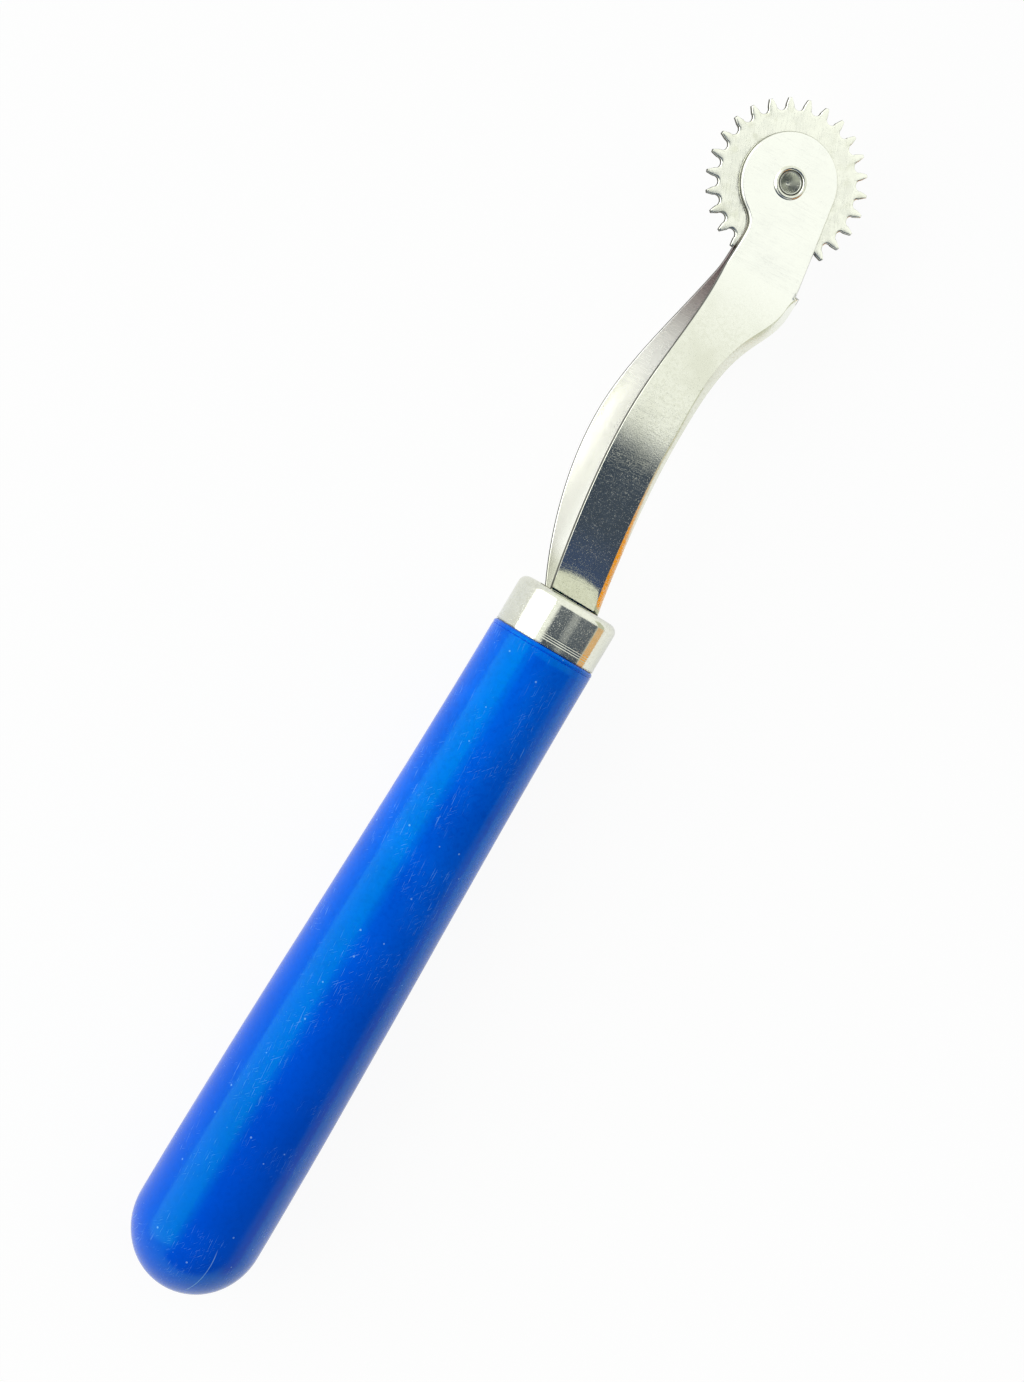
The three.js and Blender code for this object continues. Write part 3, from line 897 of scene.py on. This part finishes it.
def leaf_mesh(name, shape, side):
    """One leaf as a closed solid. side is 1 for the leaf in front of the wheel and -1 for the one behind."""
    outline, rolls, bent = shape.outline()
    rivet = settings().rivet
    hole = rivet.shank / MM + FIT_GAP
    spots, triangles, distance = plate(outline, rolls, hole, (shape.reach, shape.offset), FACE_STEP)
    half_sheet = shape.size["sheet"] / 2
    outer, inner = shape.face(half_sheet), shape.face(-half_sheet)
    top, bottom = [], []
    for x, y in spots:
        away, nearest = distance(x, y)
        roll, turn = rolls[nearest], bent[nearest]
        out = 1 - min(1.0, away / roll)
        past_crest = min(1.0, max(0.0, (x - CREST_START) / CREST_RUN))
        past_slot = min(1.0, max(0.0, (x - shape.front) / SLOT_RUN))
        start_slope = turn * (START_SLOPE + START_BY_WIDTH * roll)
        end_slope = WALL_SLOPE - turn * (BENT_LOSS + CREST_LOSS * (1 - past_crest))
        drop = roll * (start_slope * out + (end_slope - start_slope) * out * out / 2)
        lift = BURR * max(0.0, 1 - away / BURR) - INNER_SHARE * drop * turn * past_slot
        top.append((x, y, side * (float(np.interp(x, *outer)) - drop)))
        bottom.append((x, y, side * (float(np.interp(x, *inner)) + lift)))
    count = len(spots)
    faces = [list(t) for t in triangles] + [[count + i for i in reversed(t)] for t in triangles]
    sides = {(t[i], t[(i + 1) % 3]) for t in triangles for i in range(3)}
    for a, b in sorted(sides):
        if (b, a) not in sides:
            faces.append([count + a, count + b, b, a])
    origin = tool_origin()
    return piece_from(name, [Vector(p) * MM + origin for p in top + bottom], faces)


class TRACINGWHEEL_OT_leaves(bpy.types.Operator):
    """Make the two stamped and bowed leaves of the fork"""
    bl_idname = "tracing_wheel.leaves"
    bl_label = "Make Leaves"

    def execute(self, context):
        shape = LeafShape(settings().leaf)
        for which, side in (("front", 1), ("rear", -1)):
            finish = leaf_plate(f"Bright nickel on stamped strip, {which}", settings().finish, -side)
            piece = leaf_mesh(f"{which}_leaf_strip", shape, side)
            dress(piece, "frame", "nickel_plate", finish, f"{which}_leaf")
        return {"FINISHED"}


# The toothed wheel and its rivet

# Rings of points over the wheel's faces, in shares of the way from the bore to the teeth's roots
DISC_RINGS = (0.15, 0.35, 0.6, 0.8, 0.95)

# Points across the stamped edge: how far in and how far down they lie, in shares of its rounding
RIM_ROUNDING = ((2.0, 0.0), (1.0, 0.15), (0.3, 0.45), (0.0, 1.0))


def tooth_ring_tree():
    """Geometry nodes that repeat one tooth's sector round the axle and weld the seams."""
    tree = bpy.data.node_groups.new("Tooth ring", "GeometryNodeTree")
    tree.interface.new_socket("Geometry", in_out="OUTPUT", socket_type="NodeSocketGeometry")
    for name, kind in (
        ("Tooth", "NodeSocketObject"), ("Teeth", "NodeSocketInt"), ("Rest Angle", "NodeSocketFloat"),
        ("Axle", "NodeSocketVector"), ("Seam", "NodeSocketFloat"), ("Finish", "NodeSocketMaterial"),
    ):
        tree.interface.new_socket(name, in_out="INPUT", socket_type=kind)
    given = add(tree, "NodeGroupInput").outputs
    tooth = add(tree, "GeometryNodeObjectInfo", {"Object": given["Tooth"]})
    stations = add(tree, "GeometryNodePoints", {"Count": given["Teeth"]})
    index = add(tree, "GeometryNodeInputIndex")
    share = add(tree, "ShaderNodeMath", {0: index.outputs[0], 1: given["Teeth"]}, operation="DIVIDE")
    turn = add(tree, "ShaderNodeMath", {0: share.outputs[0], 1: 2 * math.pi, 2: given["Rest Angle"]},
               operation="MULTIPLY_ADD")
    axis = add(tree, "ShaderNodeCombineXYZ", {"Z": turn.outputs[0]})
    rotation = add(tree, "FunctionNodeEulerToRotation", {"Euler": axis.outputs[0]})
    copies = add(tree, "GeometryNodeInstanceOnPoints", {
        "Points": stations.outputs[0], "Instance": tooth.outputs["Geometry"], "Rotation": rotation.outputs[0],
    })
    placed = add(tree, "GeometryNodeTransform", {"Geometry": copies.outputs[0], "Translation": given["Axle"]})
    real = add(tree, "GeometryNodeRealizeInstances", {"Geometry": placed.outputs[0]})
    joined = {"Geometry": real.outputs[0], "Distance": given["Seam"]}
    welded = add(tree, "GeometryNodeMergeByDistance", joined)
    finished = {"Geometry": welded.outputs[0], "Material": given["Finish"]}
    add(tree, "NodeGroupOutput", {"Geometry": add(tree, "GeometryNodeSetMaterial", finished).outputs[0]})
    return tree


def tooth_sector(size, tip_radius, thickness):
    """One tooth's sector of the wheel, from the bore to the tip, open at its two cut sides."""
    half_pitch = math.pi / size.teeth
    gap_middle = tip_radius - size.tooth + size.gap
    half_tip = size.tip / 2 / tip_radius
    gap_points = arc((gap_middle, 0), size.gap, math.pi / 2, math.pi, 8)
    rim = [(half_tip * share, tip_radius) for share in (0.0, 0.5, 1.0)]
    flank_end = (half_pitch - math.atan2(gap_points[0][1], gap_points[0][0]), math.hypot(*gap_points[0]))
    rim += [tuple(Vector(rim[-1]).lerp(Vector(flank_end), share)) for share in (0.33, 0.67)]
    rim += [(half_pitch - math.atan2(y, x), math.hypot(x, y)) for x, y in gap_points]
    rim = [(-turn, radius) for turn, radius in reversed(rim[1:])] + rim
    root = tip_radius - size.tooth
    half = thickness / 2
    rings = [("bore", size.bore, half - size.edge), ("bore", size.bore + size.edge, half)]
    rings += [("disc", size.bore + (root - size.bore) * share, half) for share in DISC_RINGS]
    rings += [("rim", into * size.edge, half - down * size.edge) for into, down in RIM_ROUNDING]
    rings += [(kind, at, -height) for kind, at, height in reversed(rings)]
    points = []
    seam_side = half_pitch * 0.98
    for kind, at, height in rings:
        for turn, radius in rim:
            reach = radius - at if kind == "rim" else at
            narrowed = kind == "rim" and abs(turn) < seam_side
            swing = turn * (1 - at / (3 * size.tip)) if narrowed else turn
            points.append((reach * math.cos(swing), reach * math.sin(swing), height))
    width = len(rim)
    faces = []
    for ring in range(len(rings)):
        after = (ring + 1) % len(rings)
        for i in range(width - 1):
            faces.append([ring * width + i, after * width + i, after * width + i + 1, ring * width + i + 1])
    return points, faces


class TRACINGWHEEL_OT_wheel(bpy.types.Operator):
    """Make the toothed wheel by repeating one tooth round the axle"""
    bl_idname = "tracing_wheel.wheel"
    bl_label = "Make Wheel"

    def execute(self, context):
        size = settings().wheel
        centre = axle()
        low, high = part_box("tracing_wheel")
        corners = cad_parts["tracing_wheel"].data.vertices
        inset = seam = 0.002 * MM
        tip_radius = max((v.co - centre).to_2d().length for v in corners) - inset
        points, faces = tooth_sector(size, tip_radius, high.z - low.z)
        tooth = piece_from("tooth", points, faces)
        finish = satin_steel(settings().finish)
        host = piece_from("toothed_wheel", [], [])
        tree = tooth_ring_tree()
        ring = host.modifiers.new("Teeth", "NODES")
        ring.node_group = tree
        values = {
            "Tooth": tooth, "Teeth": size.teeth, "Rest Angle": size.rest, "Axle": tuple(centre),
            "Seam": seam, "Finish": finish,
        }
        for socket in tree.interface.items_tree:
            if socket.in_out == "INPUT":
                ring[socket.identifier] = values[socket.name]
        bake_modifiers(host)
        bpy.data.objects.remove(tooth)
        face_outward(host.data)
        dress(host, "wheel", "wheel_steel", finish, "tracing_wheel")
        return {"FINISHED"}


class TRACINGWHEEL_OT_rivet(bpy.types.Operator):
    """Make the tubular rivet: domed head behind, rolled lip and conical hollow in front"""
    bl_idname = "tracing_wheel.rivet"
    bl_label = "Make Rivet"

    def execute(self, context):
        size = settings().rivet
        low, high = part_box("axle_rivet")
        centre = axle()
        head_radius = (high.x - low.x) / 2
        head_face = low.z + size.head_height - centre.z
        lip_top = high.z - centre.z
        lip_foot = lip_top - size.lip_height
        crest = (size.lip + size.mouth) / 2
        floor = lip_top - size.depth
        profile = arc((head_face, 0), (size.head_height, head_radius), math.pi, math.pi / 2, 20)
        profile += [(head_face, size.shank), (lip_foot, size.shank), (lip_foot, size.lip)]
        profile += arc((lip_foot, crest), (size.lip_height, size.lip - crest), math.pi / 2, 0, 10)[1:]
        inner = size.lip_height * 0.5
        profile += arc((lip_top - inner, crest), (inner, crest - size.mouth), 0, -math.pi / 2, 8)[1:]
        ledge = lip_top - 1.4 * inner
        ledge_width, ledge_height, step_down = 0.14 * MM, 0.1 * MM, 0.2 * MM
        profile += arc((ledge, size.mouth - ledge_width), (ledge_height, ledge_width), 1.2, -math.pi / 2, 6)
        profile += [(ledge - step_down, size.hollow * 1.25), (floor + size.cone, size.hollow * 0.7)]
        profile += [(floor + size.cone * 0.5, size.hollow * 0.35), (floor, 0.0)]
        piece = turned("tubular_rivet", profile, centre, "Z")
        dress(piece, "frame", "nickel_plate", rivet_plate(settings().finish), "axle_rivet")
        return {"FINISHED"}


# The stage

def studio_world():
    """A pale studio with one dark side above the handle and a warm card low on the right. The camera sees
    plain white; polished metal sees the studio."""
    world = bpy.data.worlds.new("Pale studio")
    bpy.context.scene.world = world
    world.use_nodes = True
    tree = world.node_tree
    tree.nodes.clear()
    x, y, z = axes(add(tree, "ShaderNodeTexCoord").outputs["Generated"])

    # The dark side's edge draws back a little in its middle
    off_middle = magnitude(plus(y, 0.245))
    shifted = less(x, between(off_middle, 0.06, 0.22, 0.0, 0.04))
    dark = times(times(fading(shifted, -0.075, 0.145), fading(y, 0.36, 0.52)), between(z, 0.28, 0.4))
    card = times(times(fading(y, -0.86, -0.72), fading(z, 0.3, 0.36)), fading(x, 0.05, 0.2))
    board = times(times(fading(y, -0.8, -0.66), fading(z, 0.34, 0.42)), between(x, -0.1, 0.1))
    shade = mixed(between(x, -0.72, -0.5), linear("#435273"), linear("#434D5C"))
    room = mixed(dark, linear("#FDFFFA"), shade)
    room = mixed(card, room, linear("#F8A010"))
    room = mixed(board, room, linear("#C6C9B4"))
    seen = add(tree, "ShaderNodeBackground", {"Color": room, "Strength": 1.05})
    plain = add(tree, "ShaderNodeBackground", {"Color": (1, 1, 1, 1), "Strength": 1.0})
    path = add(tree, "ShaderNodeLightPath")
    shown = add(tree, "ShaderNodeMixShader", {
        0: path.outputs["Is Camera Ray"], 1: seen.outputs[0], 2: plain.outputs[0],
    })
    add(tree, "ShaderNodeOutputWorld", {"Surface": shown.outputs[0]})


def sweep_paper():
    """Matt white photographic paper: plain white with the object's shadow left faintly on it."""
    material, tree = new_material("Matt white studio paper")
    paper = add(tree, "ShaderNodeBsdfDiffuse", {"Color": (*linear("#F6F7F6"), 1), "Roughness": 0.6})
    lit = add(tree, "ShaderNodeEmission", {"Color": (1, 1, 1, 1), "Strength": 1.0})
    seen_share, mirrored_share = 0.93, 0.6
    path = add(tree, "ShaderNodeLightPath").outputs
    passed = times(path["Is Transmission Ray"], seen_share)
    share = most(times(path["Is Glossy Ray"], mirrored_share), passed)
    share = most(times(path["Is Camera Ray"], seen_share), share)
    shown = add(tree, "ShaderNodeMixShader", {0: share, 1: paper.outputs[0], 2: lit.outputs[0]})
    return surfaced(material, shown)


class TRACINGWHEEL_OT_stage(bpy.types.Operator):
    """Make the camera, the soft key light, the studio and the floor"""
    bl_idname = "tracing_wheel.stage"
    bl_label = "Make Stage"

    def execute(self, context):
        size = settings().stage
        scene = bpy.context.scene
        lens = bpy.data.cameras.new("Photo camera")
        lens.sensor_width = SENSOR_WIDTH
        lens.lens = size.focal_pixels / max(IMAGE_SIZE) * SENSOR_WIDTH
        lens.clip_start = 10 * MM
        camera = add_object("Photo camera", lens)
        camera.location = tool_origin() + Vector(size.eye)
        camera.rotation_euler = size.turn
        scene.camera = camera
        scene.view_settings.view_transform = "Standard"

        key = bpy.data.lights.new("Key softbox", "AREA")
        key.shape = "RECTANGLE"
        key.size, key.size_y = size.key_size
        key.energy = size.key_radiance * math.pi * key.size * key.size_y
        lamp = add_object("Key softbox", key)
        lamp.location = size.key_place
        lamp.rotation_euler = (-Vector(size.key_place)).to_track_quat("-Z", "Y").to_euler()
        lamp.visible_camera = False

        half = size.floor / 2
        corners = [(-half, -half, 0), (half, -half, 0), (half, half, 0), (-half, half, 0)]
        sheet = bpy.data.meshes.new("Floor")
        sheet.from_pydata(corners, [], [(0, 1, 2, 3)])
        sheet.materials.append(sweep_paper())
        add_object("Floor", sheet)
        studio_world()
        return {"FINISHED"}


MAKERS = (
    TRACINGWHEEL_OT_handle,
    TRACINGWHEEL_OT_ferrule,
    TRACINGWHEEL_OT_leaves,
    TRACINGWHEEL_OT_wheel,
    TRACINGWHEEL_OT_rivet,
    TRACINGWHEEL_OT_stage,
)


class TRACINGWHEEL_PT_panel(bpy.types.Panel):
    """Lists the makers and their sizes"""
    bl_label = "Tracing Wheel"
    bl_idname = "TRACINGWHEEL_PT_panel"
    bl_space_type = "VIEW_3D"
    bl_region_type = "UI"
    bl_category = "Tracing Wheel"

    def draw(self, context):
        for maker in MAKERS:
            self.layout.operator(maker.bl_idname)
        values = context.scene.tracing_wheel
        for group in ("handle", "ferrule", "leaf", "wheel", "rivet", "finish", "stage"):
            box = self.layout.box()
            box.label(text=group.capitalize())
            sizes = getattr(values, group)
            for name in sizes.__annotations__:
                box.prop(sizes, name)


CLASSES = (
    HandleSizes, FerruleSizes, LeafSizes, WheelSizes, RivetSizes, Finishes, StageSizes, TracingWheelSettings,
    *MAKERS, TRACINGWHEEL_PT_panel,
)


def register():
    for cls in CLASSES:
        bpy.utils.register_class(cls)
    bpy.types.Scene.tracing_wheel = PointerProperty(type=TracingWheelSettings)


def unregister():
    del bpy.types.Scene.tracing_wheel
    for cls in reversed(CLASSES):
        bpy.utils.unregister_class(cls)


def main():
    register()
    for maker in MAKERS:
        group, operator = maker.bl_idname.split(".")
        getattr(getattr(bpy.ops, group), operator)()


if __name__ == "__main__":
    main()
